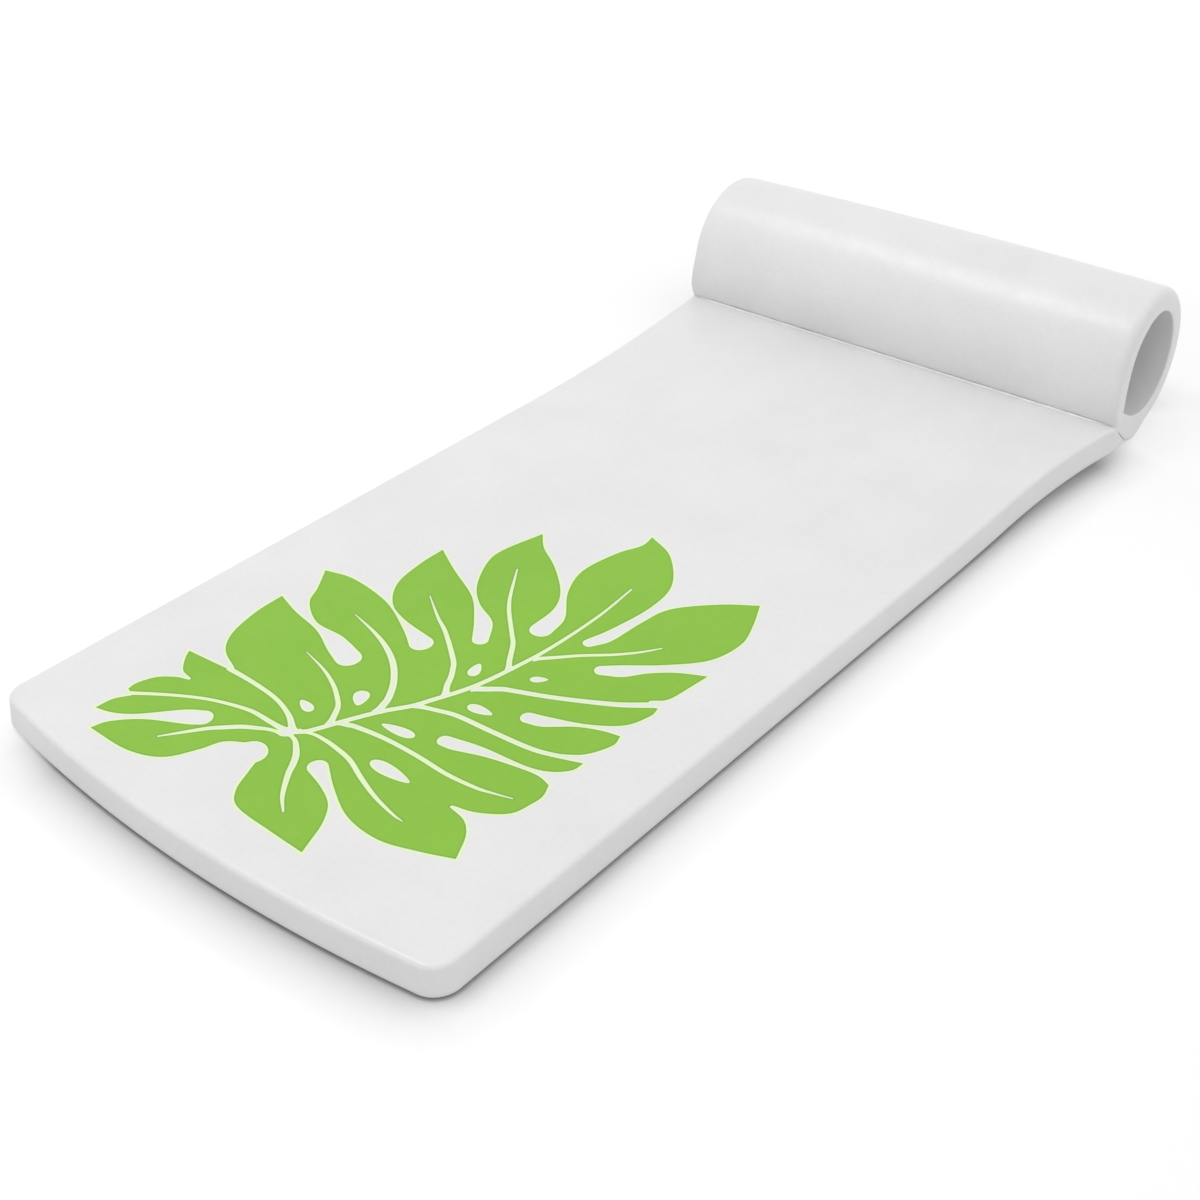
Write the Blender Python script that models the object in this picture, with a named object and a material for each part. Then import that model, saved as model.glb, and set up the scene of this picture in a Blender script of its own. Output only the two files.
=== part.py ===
"""Foam pool float: a flat foam mat with a hollow foam roll pillow glued across its head end.

The mat lies on the floor, +Y runs from the foot to the head and +Z is up. The origin is on the floor
under the middle of the float.
"""
import math

import bmesh
import bpy
from mathutils import Vector

# Mat
LENGTH = 1.513
MAT_THICKNESS = 0.039
FOOT_WIDTH = 0.644
HEAD_WIDTH = 0.676           # without the flare beside the pillow
FLARE_LENGTH = 0.26
FOOT_BOW = 0.0273            # how far the middle of the foot edge stands out past its corners
FOOT_BOW_FADE = 0.30
CORNER_RADIUS = 0.026
SIDE_LEAN = 0.004            # the sides lean in by this much from their foot to the deck
DECK_EDGE_RADIUS = 0.005
UNDER_EDGE_RADIUS = 0.008
HEAD_RISE = 0.0117           # lift of the mat where it meets the pillow
RISE_LENGTH = 0.372
RISE_END = 0.039             # level stretch between the lift and the pillow

# Roll pillow
PILLOW_RADIUS = 0.110
PILLOW_CROWN = 0.0090        # the ends are thinner than the middle by this much
PILLOW_LENGTH = 0.7024
END_FLARE = 0.0065           # at the joint each end swells this far, to be flush with the mat's side
PILLOW_END_RADIUS = 0.0157
JOINT_BLEND = math.radians(45)  # how far round the pillow the swelling fades out
BORE_RADIUS = 0.0712
BORE_RIM_RADIUS = 0.007
PILLOW_LIFT = 0.0008         # the pillow hangs just clear of the floor
MAT_END_BEFORE_AXIS = 0.036  # the mat is drawn to this far before the pillow's axis, then cut

# Vinyl coat, glue and bead
COAT = 0.0010
GAP = 0.0003
GLUE_EDGE = 0.007            # how far the glue stops short of the coat at the top and bottom
GLUE_END = 0.030             # and of the pillow's rounded ends
BEAD_RADIUS = 0.0016
TOP_BEAD_END = 0.014         # how far the bead along the deck stops short of the mat's sides
UNDER_BEAD_END = 0.093       # and the bead along the underside, where the pillow curves up and away

# Leaf print
PRINT_LENGTH = 0.660
PRINT_FROM_FOOT = 0.050
PRINT_THICKNESS = 0.0004
VEIN_TAPER = 3               # a high power keeps a vein's width until near its end
HOLE_POINT = 0.35

# Fineness of the curves
FILLET_STEPS = 3
CORNER_STEPS = 5
FOOT_STEPS = 12
RISE_STEPS = 8
PILLOW_SEGMENTS = 32
BARREL_STEPS = 4
END_STEPS = 3
RIM_STEPS = 2
BLOCK_STEPS = 4
BEAD_STEPS = 16
BEAD_SIDES = 8
EDGE_STEPS = 2
SLOT_STEPS = 4
VEIN_STEPS = 1
HOLE_STEPS = 12
SHARP_ANGLE = math.radians(35)

# Places that follow from the sizes
FOOT_Y = -LENGTH / 2
PILLOW_Y = LENGTH / 2 - PILLOW_RADIUS
PILLOW_Z = PILLOW_LIFT + PILLOW_RADIUS
PILLOW_HALF = PILLOW_LENGTH / 2
DECK_AT_HEAD = HEAD_RISE + MAT_THICKNESS
CREASE_Y = PILLOW_Y - math.sqrt(PILLOW_RADIUS ** 2 - (PILLOW_Z - DECK_AT_HEAD) ** 2)
CORNER_Y = FOOT_Y + FOOT_BOW
HEAD_FLARE = PILLOW_HALF + END_FLARE - HEAD_WIDTH / 2
MAT_END_Y = PILLOW_Y - MAT_END_BEFORE_AXIS
JOINT_TOP_ANGLE = math.asin((PILLOW_Z - DECK_AT_HEAD) / PILLOW_RADIUS)
JOINT_FOOT_ANGLE = math.asin((PILLOW_Z - HEAD_RISE) / PILLOW_RADIUS)

# Colours
FOAM_WHITE = (0.80, 0.80, 0.76)
VINYL_WHITE = (0.82, 0.82, 0.82)
BEAD_WHITE = (0.86, 0.86, 0.86)
GLUE_YELLOW = (0.62, 0.52, 0.30)
LEAF_GREEN = (0.27, 0.54, 0.05)


# The leaf as it is drawn, in millimetres across and along the mat from the foot end of the print.
DRAWN_LENGTH = 660
LEAF_SCALE = PRINT_LENGTH / DRAWN_LENGTH
CUT_MARGIN = 0.002           # how far the bare veins are cut past the ink's two faces
CUBIC_BULGE = 4 / 3          # a cubic's handles stand out this many times as far as its middle

# Lobes, clockwise: the round end of the slot before it and its radius, the points that its edge runs
# through on the way out, the tip, and the points on the way back.
LEAF_LOBES = [
    ((-162, 162), 3, [(-193, 180), (-213, 207), (-224, 250)], (-226, 291),
     [(-189, 279), (-144, 269), (-107, 251)]),
    ((-78, 255), 15, [(-113, 279), (-155, 280), (-191, 302), (-206, 328)], (-227, 360),
     [(-187, 368), (-124, 358), (-71, 332)]),
    ((-36, 325), 14, [(-82, 346), (-116, 361), (-141, 394), (-150, 439)], (-151, 480),
     [(-109, 456), (-55, 428), (-20, 394)]),
    ((11, 371), 9.5, [(-2, 405), (-38, 423), (-66, 449), (-89, 491), (-94, 524)], (-81, 583),
     [(-59, 560), (-22, 536), (17, 501), (35, 468)]),
    ((51, 428), 13.5, [(57, 462), (26, 504), (10, 550), (17, 604), (30, 638)], (28, 661),
     [(70, 641), (110, 592), (119, 540), (111, 478)]),
    ((109, 442), 7.5, [(126, 461), (130, 509), (139, 551), (177, 594)], (214, 621),
     [(231, 582), (241, 545), (232, 500), (199, 462), (165, 434)]),
    ((152, 411), 8.5, [(177, 416), (194, 438), (217, 458)], (247, 474), [(244, 448), (239, 416)]),
    ((228, 400), 3, [], (240, 395), [(241, 380), (230, 352), (199, 329), (159, 313)]),
    ((145, 299), 9, [(166, 297), (192, 318), (217, 330)], (238, 335), [(241, 318), (228, 290)]),
    ((207, 270), 3, [], (236, 278), [(234, 263), (219, 248), (194, 239), (141, 234)]),
    ((104, 217), 8.5, [(119, 211), (154, 224), (194, 233), (215, 235)], (231, 231),
     [(237, 215), (236, 200), (229, 176), (203, 157)]),
    ((179, 148), 2, [(201, 141), (217, 127), (228, 106)], (232, 97),
     [(199, 83), (157, 70), (112, 74), (72, 94)]),
    ((34, 107), 11, [(59, 88), (83, 75), (99, 53), (109, 27)], (114, 13),
     [(70, 14), (19, 17), (-2, 32), (-14, 58)]),
    ((-36, 80), 18, [(-71, 74), (-81, 49), (-100, 19), (-138, 4)], (-195, 3),
     [(-189, 21), (-164, 46), (-124, 68)]),
    ((-119, 86), 12, [(-144, 83), (-176, 48), (-198, 33)], (-219, 27), [(-217, 47)]),
    ((-210, 64), 3, [], (-219, 69), [(-220, 81), (-212, 101), (-196, 114)]),
    ((-183, 121), 2, [(-200, 127), (-216, 143)], (-223, 154), [(-171, 158)]),
]
# Bare veins: the width at the root and at the end, and the points that the vein runs through.
LEAF_VEINS = [
    (8.5, 1.5, [(-32, 127), (-14, 150), (-4, 172), (8, 200), (26, 230), (44, 252), (64, 300), (74, 350),
                (82, 410), (83, 490), (75, 566)]),
    (6, 1, [(-12, 155), (-16, 179), (-31, 197), (-53, 211), (-82, 223), (-129, 236)]),
    (6, 1, [(10, 205), (5, 232), (-9, 254), (-33, 277), (-60, 294), (-91, 307), (-140, 321)]),
    (6, 1, [(54, 280), (36, 301), (14, 326), (-29, 357), (-56, 373), (-92, 398)]),
    (6, 1, [(71, 350), (54, 372), (30, 400), (3, 428), (-18, 456), (-38, 482), (-55, 507)]),
    (6, 1, [(83, 383), (92, 397), (114, 421), (141, 443), (159, 466), (180, 491)]),
    (7, 11, [(66, 302), (80, 314), (100, 324), (128, 336), (150, 347), (177, 364), (203, 381), (232, 400),
             (250, 411)]),
    (6, 6, [(38, 240), (61, 248), (85, 255), (128, 258), (175, 262), (200, 268), (222, 278), (245, 290)]),
    (7, 1.5, [(1, 172), (17, 177), (52, 182), (97, 182), (141, 181), (177, 184), (194, 188), (218, 197)]),
    (4.5, 1, [(-25, 134), (-9, 141), (21, 141), (50, 136), (81, 122), (112, 110), (143, 104), (160, 102)]),
    (6, 1, [(-29, 125), (-7, 118), (4, 107), (21, 81), (39, 56), (61, 38)]),
    (6, 1, [(-34, 121), (-49, 117), (-76, 103), (-100, 78), (-118, 56), (-132, 35)]),
    (6.5, 7, [(-33, 126), (-60, 126), (-85, 127), (-109, 123), (-136, 110), (-162, 94), (-191, 77),
              (-235, 53)]),
    (5, 5, [(-30, 131), (-42, 138), (-53, 147), (-75, 154), (-98, 159), (-131, 161), (-165, 162)]),
]
# Bare holes, and the star where the veins meet: the centre, half the length, half the width and the
# direction of the pointed end in degrees.
LEAF_HOLES = [
    (-50, 168, 12, 6, 164), (-16, 213, 14, 8, 122), (45, 326, 12, 6.5, 108), (110, 356, 10, 5, 37),
    (97, 277, 15.5, 6.5, 8), (56, 199, 19.5, 6.5, 188), (95, 147.5, 27, 8, 0), (-32, 125, 8, 8, 0),
]


def smooth_step(value):
    value = min(max(value, 0.0), 1.0)
    return value * value * (3.0 - 2.0 * value)


def half_width(y):
    """Half the mat's width at y: a slight taper to the foot and a flare beside the pillow."""
    share = min((y - CORNER_Y) / (CREASE_Y - CORNER_Y), 1.0)
    flare = min(max(1.0 - (CREASE_Y - y) / FLARE_LENGTH, 0.0), 1.0)
    return (FOOT_WIDTH + (HEAD_WIDTH - FOOT_WIDTH) * share) / 2 + HEAD_FLARE * flare ** 2


def rise(y):
    """Height of the mat's underside at y."""
    return HEAD_RISE * smooth_step((y - (CREASE_Y - RISE_END - RISE_LENGTH)) / RISE_LENGTH)


def pillow_radius(x):
    """Outer radius of the pillow's barrel at x."""
    return PILLOW_RADIUS - PILLOW_CROWN * (x / PILLOW_HALF) ** 2


def on_joint(z, clearance):
    """The y of the pillow's front along the joint at height z, that far out from its surface."""
    return PILLOW_Y - math.sqrt((PILLOW_RADIUS + clearance) ** 2 - (z - PILLOW_Z) ** 2)


def joint_share(angle):
    """1 along the joint, falling to 0 on both sides of it; angles go from the pillow's front downwards."""
    past = max(JOINT_TOP_ANGLE - angle, angle - JOINT_FOOT_ANGLE, 0.0)
    return 1.0 - smooth_step(past / JOINT_BLEND)


def swell_at_joint(x, radius, share):
    """Takes a point of the pillow's profile out to where the swelling along the joint puts it."""
    outward = smooth_step((radius - BORE_RADIUS) / (PILLOW_RADIUS - BORE_RADIUS))
    swelling = share * outward * (x / PILLOW_HALF) ** 2
    return x + math.copysign(END_FLARE * swelling, x), radius + PILLOW_CROWN * swelling


def foot_bow(x, y):
    """How far the bow of the foot edge carries a point of the mat towards the foot."""
    across = 1.0 - (x / half_width(y)) ** 2
    return FOOT_BOW * across * (1.0 - smooth_step((y - CORNER_Y) / FOOT_BOW_FADE))


def mat_levels(inset):
    """(distance in from the side, height) from the rim of the deck down to the rim of the underside."""
    levels = []
    for step in range(FILLET_STEPS + 1):
        angle = math.pi / 2 * (1 - step / FILLET_STEPS)
        radius = DECK_EDGE_RADIUS - inset
        levels.append((DECK_EDGE_RADIUS - radius * math.cos(angle),
                       MAT_THICKNESS - DECK_EDGE_RADIUS + radius * math.sin(angle)))
    for step in range(FILLET_STEPS + 1):
        angle = math.pi / 2 * step / FILLET_STEPS
        radius = UNDER_EDGE_RADIUS - inset
        levels.append((UNDER_EDGE_RADIUS - radius * math.cos(angle),
                       UNDER_EDGE_RADIUS - radius * math.sin(angle)))
    lean = SIDE_LEAN / (MAT_THICKNESS - UNDER_EDGE_RADIUS)
    return [(side + lean * max(height - UNDER_EDGE_RADIUS, 0), height) for side, height in levels]


def mat_outline(side, end_y):
    """Outline of the mat, that far in from its side, from its right end round the foot to its left end."""
    corner_y = CORNER_Y + CORNER_RADIUS
    stations = [end_y]
    for step in range(RISE_STEPS + 1):
        stations.append(CREASE_Y - (RISE_END + RISE_LENGTH) * step / RISE_STEPS)
    right = [(half_width(y) - side, y) for y in stations]
    centre_x = half_width(corner_y) - CORNER_RADIUS
    for step in range(CORNER_STEPS + 1):
        angle = math.pi / 2 * step / CORNER_STEPS
        radius = CORNER_RADIUS - side
        right.append((centre_x + radius * math.cos(angle), corner_y - radius * math.sin(angle)))
    foot = [(centre_x * (1 - 2 * step / FOOT_STEPS), CORNER_Y + side) for step in range(1, FOOT_STEPS)]
    outline = right + foot + [(-x, y) for x, y in reversed(right)]
    return [(x, y - foot_bow(x, y)) for x, y in outline]


def mat_body(name, inset, end_y, material=None):
    """The mat as a closed slab, drawn in by inset, with a plain end at end_y."""
    mesh = bmesh.new()
    rings = []
    for side, height in mat_levels(inset):
        rings.append([mesh.verts.new((x, y, height + rise(y))) for x, y in mat_outline(side, end_y)])
    for upper, lower in zip(rings, rings[1:]):
        for index in range(len(upper) - 1):
            mesh.faces.new((upper[index], upper[index + 1], lower[index + 1], lower[index]))
    for ring in (rings[0], rings[-1]):
        for index in range(RISE_STEPS + 1):
            mesh.faces.new((ring[index], ring[index + 1], ring[-2 - index], ring[-1 - index]))
        mesh.faces.new(ring[RISE_STEPS + 1:len(ring) - RISE_STEPS - 1])
    mesh.faces.new([ring[0] for ring in rings] + [ring[-1] for ring in reversed(rings)])
    return finish_object(name, mesh, material)


def finish_object(name, mesh, material=None):
    bmesh.ops.recalc_face_normals(mesh, faces=mesh.faces)
    data = bpy.data.meshes.new(name)
    mesh.to_mesh(data)
    mesh.free()
    data.shade_smooth()
    data.set_sharp_from_angle(angle=SHARP_ANGLE)
    if material:
        data.materials.append(material)
    obj = bpy.data.objects.new(name, data)
    bpy.context.scene.collection.objects.link(obj)
    return obj


def arc(centre_x, centre_r, radius, start, end, steps):
    """(x, radius) points of an arc in the pillow's profile, angles in degrees from +x to outward."""
    points = []
    for step in range(steps + 1):
        angle = math.radians(start + (end - start) * step / steps)
        points.append((centre_x + radius * math.cos(angle), centre_r + radius * math.sin(angle)))
    return points


def pillow_profile(inset, bore_radius):
    """Closed (x, radius) profile of the pillow's wall, drawn in by inset."""
    half = PILLOW_HALF - PILLOW_END_RADIUS
    end_radius = pillow_radius(half) - PILLOW_END_RADIUS
    rim_radius = bore_radius + BORE_RIM_RADIUS
    rim_x = PILLOW_HALF - BORE_RIM_RADIUS
    right = arc(half, end_radius, PILLOW_END_RADIUS - inset, 90, 0, END_STEPS)
    right += arc(rim_x, rim_radius, BORE_RIM_RADIUS - inset, 0, -90, RIM_STEPS)
    barrel = []
    for step in range(1, BARREL_STEPS):
        x = half * (2 * step / BARREL_STEPS - 1)
        barrel.append((x, pillow_radius(x) - inset))
    left = [(-x, radius) for x, radius in reversed(right)]
    return barrel + right + left


def turn_profile(name, profile, material=None):
    """A closed body turned round the pillow's axis, swelling a little at the joint."""
    mesh = bmesh.new()
    rings = []
    for step in range(PILLOW_SEGMENTS):
        angle = 2 * math.pi * step / PILLOW_SEGMENTS - math.pi
        ring = []
        for point in profile:
            x, radius = swell_at_joint(*point, joint_share(angle))
            ring.append(mesh.verts.new((x, -radius * math.cos(angle), -radius * math.sin(angle))))
        rings.append(ring)
    for index, ring in enumerate(rings):
        following = rings[(index + 1) % PILLOW_SEGMENTS]
        for point in range(len(profile)):
            after = (point + 1) % len(profile)
            mesh.faces.new((ring[point], ring[after], following[after]))
            mesh.faces.new((ring[point], following[after], following[point]))
    obj = finish_object(name, mesh, material)
    obj.location = (0, PILLOW_Y, PILLOW_Z)
    return obj


def joint_angle(z, clearance):
    """Angle below the horizontal, on the pillow's front, of height z."""
    return math.asin((PILLOW_Z - z - clearance) / PILLOW_RADIUS)


def wall_block(name, half_length, spread):
    """A curved block through the outer half of the pillow's wall, behind the mat's end."""
    inner = (BORE_RADIUS + pillow_radius(PILLOW_HALF)) / 2
    outer = PILLOW_RADIUS + MAT_THICKNESS / 4
    top = joint_angle(DECK_AT_HEAD - COAT - GLUE_EDGE, spread)
    bottom = joint_angle(HEAD_RISE + COAT + GLUE_EDGE, -spread)
    angles = [math.pi + top + (bottom - top) * turn / BLOCK_STEPS for turn in range(BLOCK_STEPS + 1)]
    section = [(outer, angle) for angle in angles] + [(inner, angle) for angle in reversed(angles)]
    mesh = bmesh.new()
    loops = []
    for x in (-half_length, half_length):
        loops.append([mesh.verts.new((x, radius * math.cos(angle), radius * math.sin(angle)))
                      for radius, angle in section])
    sweep_faces(mesh, loops)
    obj = finish_object(name, mesh)
    obj.location = (0, PILLOW_Y, PILLOW_Z)
    return obj


def sweep_faces(mesh, loops):
    """Joins a row of equal loops into a closed body."""
    count = len(loops[0])
    for first, second in zip(loops, loops[1:]):
        for index in range(count):
            after = (index + 1) % count
            mesh.faces.new((first[index], first[after], second[after], second[index]))
    mesh.faces.new(loops[0])
    mesh.faces.new(list(reversed(loops[-1])))


def add_boolean(obj, cutter, operation="DIFFERENCE"):
    modifier = obj.modifiers.new(cutter.name, "BOOLEAN")
    modifier.object = cutter
    modifier.operation = operation
    modifier.solver = "EXACT"
    cutter.hide_render = True
    cutter.display_type = "WIRE"


def bead(name, surface_z, direction, short_by, material):
    """A round bead of coat along the corner between the pillow and one face of the mat."""
    half_length = half_width(CREASE_Y) - short_by
    z = surface_z + direction * (GAP + BEAD_RADIUS)
    y = on_joint(z, 2 * GAP + BEAD_RADIUS)
    mesh = bmesh.new()
    loops = []
    for step in range(BEAD_STEPS + 1):
        x = half_length * (2 * step / BEAD_STEPS - 1)
        loop = []
        for turn in range(BEAD_SIDES):
            angle = 2 * math.pi * turn / BEAD_SIDES
            out, up = BEAD_RADIUS * math.cos(angle), BEAD_RADIUS * math.sin(angle)
            loop.append(mesh.verts.new((x, y + out, z + up)))
        loops.append(loop)
    sweep_faces(mesh, loops)
    return finish_object(name, mesh, material)


def leaf_point(x, y):
    """Place on the deck of a point of the drawn leaf."""
    return Vector((x * LEAF_SCALE, FOOT_Y + PRINT_FROM_FOOT + y * LEAF_SCALE))


def bezier(points, steps):
    """Points of a cubic curve, without its first one."""
    first, second, third, fourth = points
    curve = []
    for step in range(1, steps + 1):
        share = step / steps
        rest = 1 - share
        curve.append(first * rest ** 3 + second * 3 * rest ** 2 * share
                     + third * 3 * rest * share ** 2 + fourth * share ** 3)
    return curve


def leaf_slots():
    """Where the outline enters and leaves each slot, and the step from its middle towards its mouth."""
    slots = []
    last_before = LEAF_LOBES[-1][4][-1]
    for slot, radius, out, tip, back in LEAF_LOBES:
        centre = leaf_point(*slot)
        first_after = (out + [tip])[0]
        mouth = (leaf_point(*last_before) + leaf_point(*first_after)) / 2 - centre
        mouth = mouth.normalized() * radius * LEAF_SCALE
        across = Vector((-mouth.y, mouth.x))
        slots.append((centre + across, centre - across, mouth))
        last_before = back[-1]
    return slots


def leaf_outline():
    """The leaf's outline, clockwise: round the end of each slot, out to the lobe's tip and back."""
    slots = leaf_slots()
    points = []
    for index, (_, _, out, tip, back) in enumerate(LEAF_LOBES):
        entry, leaving, mouth = slots[index]
        next_entry = slots[(index + 1) % len(slots)][0]
        round_end = mouth * -CUBIC_BULGE
        points += bezier([entry, entry + round_end, leaving + round_end, leaving], SLOT_STEPS)
        points += smooth_path([leaving] + [leaf_point(*point) for point in out + [tip]], EDGE_STEPS)[1:]
        points += smooth_path([leaf_point(*point) for point in [tip] + back] + [next_entry], EDGE_STEPS)[1:]
    return points


def smooth_path(points, steps):
    """A smooth curve through the points."""
    ends = [points[0] * 2 - points[1]] + points + [points[-1] * 2 - points[-2]]
    path = [points[0]]
    for index in range(1, len(ends) - 2):
        before, here, following, after = ends[index - 1:index + 3]
        handles = [here + (following - before) / 6, following - (after - here) / 6]
        path += bezier([here, *handles, following], steps)
    return path


def vein_outline(root, end, points):
    """A strip along a vein, which goes from one width to the other mostly near its end."""
    path = smooth_path([leaf_point(*point) for point in points], VEIN_STEPS)
    left, right = [], []
    for index, point in enumerate(path):
        ahead = path[min(index + 1, len(path) - 1)] - path[max(index - 1, 0)]
        across = Vector((-ahead.y, ahead.x)).normalized()
        share = (index / (len(path) - 1)) ** VEIN_TAPER
        width = (root + (end - root) * share) * LEAF_SCALE / 2
        left.append(point + across * width)
        right.append(point - across * width)
    return left + right[::-1]


def hole_outline(x, y, half_length, half_width, degrees):
    """A hole like a drop, its pointed end that far round from straight across the mat."""
    turn = math.radians(degrees)
    centre = leaf_point(x, y)
    along = Vector((math.cos(turn), math.sin(turn))) * half_length * LEAF_SCALE
    across = Vector((-math.sin(turn), math.cos(turn))) * half_width * LEAF_SCALE
    points = []
    for step in range(HOLE_STEPS):
        angle = 2 * math.pi * step / HOLE_STEPS
        points.append(centre + along * math.cos(angle)
                      + across * math.sin(angle) * (1 - HOLE_POINT * math.cos(angle)))
    return points


def plate(name, outline, bottom, top, material=None):
    """A flat plate of that outline between two heights."""
    mesh = bmesh.new()
    upper = [mesh.verts.new((point.x, point.y, top)) for point in outline]
    lower = [mesh.verts.new((point.x, point.y, bottom)) for point in outline]
    for index in range(len(outline)):
        after = (index + 1) % len(outline)
        mesh.faces.new((upper[index], upper[after], lower[after], lower[index]))
    for ring in (upper, lower):
        edges = [mesh.edges.get((ring[index], ring[(index + 1) % len(ring)])) for index in range(len(ring))]
        bmesh.ops.triangle_fill(mesh, edges=edges, use_beauty=True)
    return finish_object(name, mesh, material)


def split_islands(obj, names, material):
    """Makes each separate island of a mesh an object of its own, the one with most points first."""
    evaluated = obj.evaluated_get(bpy.context.evaluated_depsgraph_get())
    whole = bmesh.new()
    whole.from_mesh(evaluated.to_mesh())
    islands = []
    unseen = set(whole.verts)
    while unseen:
        island = set()
        front = [min(unseen, key=lambda vert: vert.index)]
        while front:
            vert = front.pop()
            if vert in island:
                continue
            island.add(vert)
            front += [edge.other_vert(vert) for edge in vert.link_edges]
        unseen -= island
        islands.append(island)
    islands.sort(key=len, reverse=True)
    for name, island in zip(names, islands):
        piece = whole.copy()
        piece.verts.ensure_lookup_table()
        kept = {vert.index for vert in island}
        others = [vert for vert in piece.verts if vert.index not in kept]
        bmesh.ops.delete(piece, geom=others, context="VERTS")
        finish_object(name, piece, material)
    whole.free()
    bpy.data.objects.remove(obj)


def make_material(name, colour, roughness):
    material = bpy.data.materials.new(name)
    material.use_nodes = True
    shader = material.node_tree.nodes["Principled BSDF"]
    shader.inputs["Base Color"].default_value = (*colour, 1)
    shader.inputs["Roughness"].default_value = roughness
    shader.inputs["Metallic"].default_value = 0
    material.diffuse_color = (*colour, 1)
    return material


def build_mat():
    foam = make_material("mat_foam", FOAM_WHITE, 0.9)
    vinyl = make_material("mat_vinyl", VINYL_WHITE, 0.45)
    pillow_space = turn_profile("pillow_space", pillow_profile(-GAP, BORE_RADIUS / 2))
    core = mat_body("mat_core", COAT + GAP, MAT_END_Y, foam)
    add_boolean(core, pillow_space)
    coat = mat_body("mat_coat", 0.0, MAT_END_Y, vinyl)
    add_boolean(coat, mat_body("coat_inside", COAT, MAT_END_Y + COAT))
    add_boolean(coat, pillow_space)


def build_pillow():
    foam = make_material("pillow_foam", FOAM_WHITE, 0.9)
    vinyl = make_material("pillow_vinyl", VINYL_WHITE, 0.45)
    turn_profile("pillow_core", pillow_profile(COAT + GAP, BORE_RADIUS), foam)
    coat = turn_profile("pillow_coat", pillow_profile(0.0, BORE_RADIUS), vinyl)
    coat_inside = turn_profile("pillow_coat_inside", pillow_profile(COAT, BORE_RADIUS))
    add_boolean(coat, coat_inside)
    half_length = PILLOW_HALF - PILLOW_END_RADIUS - GLUE_END
    add_boolean(coat, wall_block("glue_window", half_length + GAP, GAP))
    dried_glue = make_material("dried_glue", GLUE_YELLOW, 0.5)
    glue = turn_profile("joint_glue", pillow_profile(0.0, BORE_RADIUS), dried_glue)
    add_boolean(glue, coat_inside)
    add_boolean(glue, wall_block("glue_space", half_length, 0.0), "INTERSECT")


def build_beads():
    vinyl = make_material("bead_vinyl", BEAD_WHITE, 0.4)
    bead("crease_bead_top", DECK_AT_HEAD, 1, TOP_BEAD_END, vinyl)
    bead("crease_bead_under", HEAD_RISE, -1, UNDER_BEAD_END, vinyl)


def build_print():
    ink = make_material("leaf_ink", LEAF_GREEN, 0.5)
    bottom = MAT_THICKNESS + GAP
    top = bottom + PRINT_THICKNESS
    leaf = plate("leaf", leaf_outline(), bottom, top)
    bare = [vein_outline(*vein) for vein in LEAF_VEINS]
    bare += [hole_outline(*hole) for hole in LEAF_HOLES]
    cutters = [plate("bare_%02d" % number, outline, bottom - CUT_MARGIN, top + CUT_MARGIN)
               for number, outline in enumerate(bare)]
    for cutter in cutters:
        add_boolean(leaf, cutter)
    names = ["leaf_print_tip", "leaf_print_base", "leaf_print_side", "leaf_print_corner"]
    split_islands(leaf, names, ink)
    for cutter in cutters:
        bpy.data.objects.remove(cutter)


for stale in list(bpy.data.objects):
    bpy.data.objects.remove(stale)
build_mat()
build_pillow()
build_beads()
build_print()
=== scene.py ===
import math

import bmesh
import bpy
from mathutils import Matrix, Vector, kdtree, noise


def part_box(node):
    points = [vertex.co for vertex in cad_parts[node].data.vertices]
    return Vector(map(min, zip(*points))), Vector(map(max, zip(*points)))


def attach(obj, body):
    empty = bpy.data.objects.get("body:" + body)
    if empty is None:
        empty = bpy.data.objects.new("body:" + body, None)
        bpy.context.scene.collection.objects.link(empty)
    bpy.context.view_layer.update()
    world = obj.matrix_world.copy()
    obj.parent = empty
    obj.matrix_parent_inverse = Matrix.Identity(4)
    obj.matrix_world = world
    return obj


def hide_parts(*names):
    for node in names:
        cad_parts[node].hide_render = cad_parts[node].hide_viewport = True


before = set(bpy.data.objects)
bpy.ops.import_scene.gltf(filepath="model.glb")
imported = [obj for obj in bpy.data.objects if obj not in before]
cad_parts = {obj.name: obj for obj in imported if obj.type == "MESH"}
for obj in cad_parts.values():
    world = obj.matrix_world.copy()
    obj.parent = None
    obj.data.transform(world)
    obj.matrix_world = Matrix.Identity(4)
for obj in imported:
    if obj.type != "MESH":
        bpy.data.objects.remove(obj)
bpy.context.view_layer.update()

# The pillow's ends flare by this much at the joint, where they are flush with the mat's sides
END_FLARE = 0.0065

# Sizes read from the frame
mat_low, mat_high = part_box("mat_coat")
pillow_low, pillow_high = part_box("pillow_coat")
PILLOW_RADIUS = (pillow_high.z - pillow_low.z) / 2
PILLOW_Y = pillow_high.y - PILLOW_RADIUS
PILLOW_Z = pillow_high.z - PILLOW_RADIUS
PILLOW_HALF = mat_high.x - END_FLARE
FOOT_Y = mat_low.y
DECK_AT_HEAD = mat_high.z

# The mat, in metres
MAT_THICKNESS = 0.039
HEAD_RISE = DECK_AT_HEAD - MAT_THICKNESS
RISE_LENGTH = 0.372
RISE_END = 0.039
FOOT_WIDTH = 0.644
HEAD_WIDTH = 0.676
FLARE_LENGTH = 0.26
FOOT_BOW = 0.0273
FOOT_BOW_FADE = 0.30
FOOT_TRIM = 0.0015           # taken off the foot's middle, and twice as much off its right corner
CORNER_RADIUS = 0.026
SIDE_LEAN = 0.004
DECK_EDGE_RADIUS = 0.005
UNDER_EDGE_RADIUS = 0.008
SUPPORT_LOOP = 0.004         # flat rim that keeps the deck's shading flat
FLOOR_GAP = 0.0003

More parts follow.
